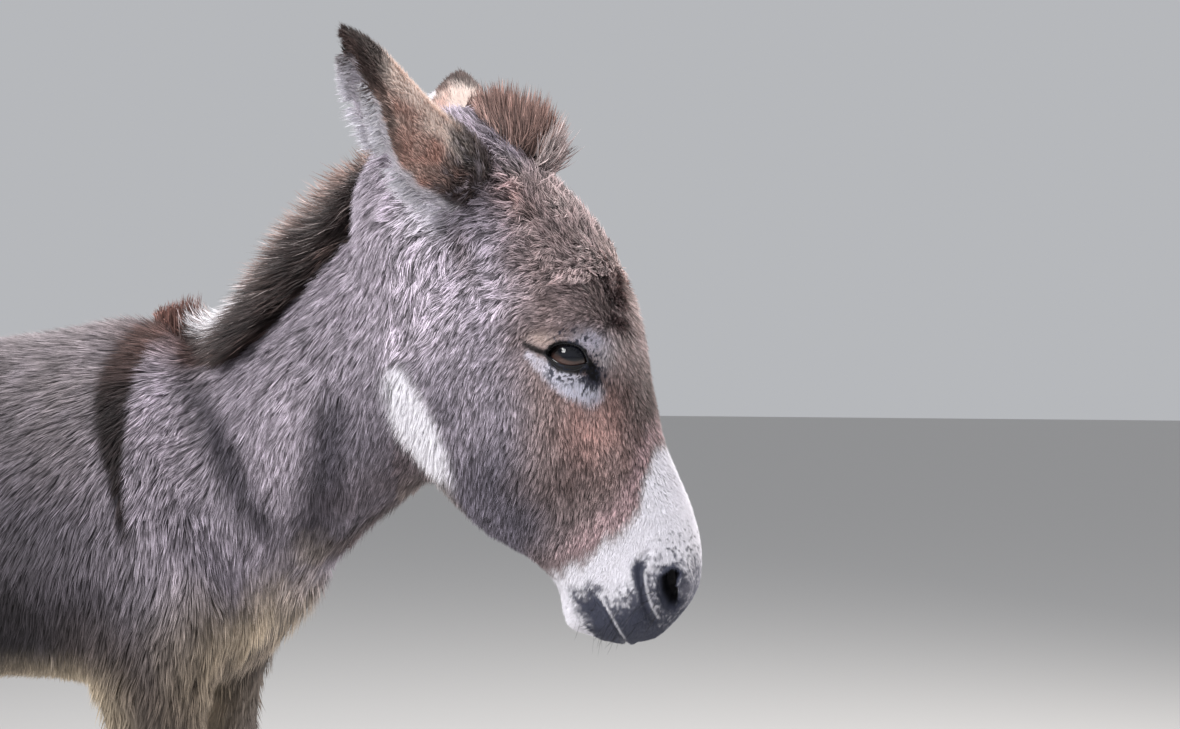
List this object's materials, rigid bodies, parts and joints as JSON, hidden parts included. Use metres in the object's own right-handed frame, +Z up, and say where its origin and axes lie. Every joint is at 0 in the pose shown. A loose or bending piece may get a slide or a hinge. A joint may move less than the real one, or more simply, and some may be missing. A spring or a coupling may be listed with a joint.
{
  "type": "donkey",
  "caption": "Life-size still donkey standing with its neck turned a little to its right, long ears turned back, upright mane and hanging tufted tail.",
  "frame": {"origin": "on the floor under the middle of the model's bounding box", "axes": "+X the way the trunk points, +Y the animal's left, +Z up"},
  "size_m": [1.5766, 0.6018, 1.2954],
  "materials": {
    "coat": "short fluffy grey-brown hair over hide",
    "dark_hair": "dark brown standing hair",
    "ear_coat": "short tan-brown hair over hide",
    "eye": "wet, dark brown",
    "horn": "dark grey hoof horn"
  },
  "bodies": {
    "root": {"ear_right": "ear_coat", "eye_right": "eye", "foreleg_right": "coat", "hindleg_right": "coat", "forehoof_right": "horn", "hindhoof_right": "horn", "ear_left": "ear_coat", "eye_left": "eye", "foreleg_left": "coat", "hindleg_left": "coat", "forehoof_left": "horn", "hindhoof_left": "horn", "head": "coat", "neck": "coat", "trunk": "coat", "tail": "coat", "mane": "dark_hair", "forelock": "dark_hair"}
  },
  "joints": []
}
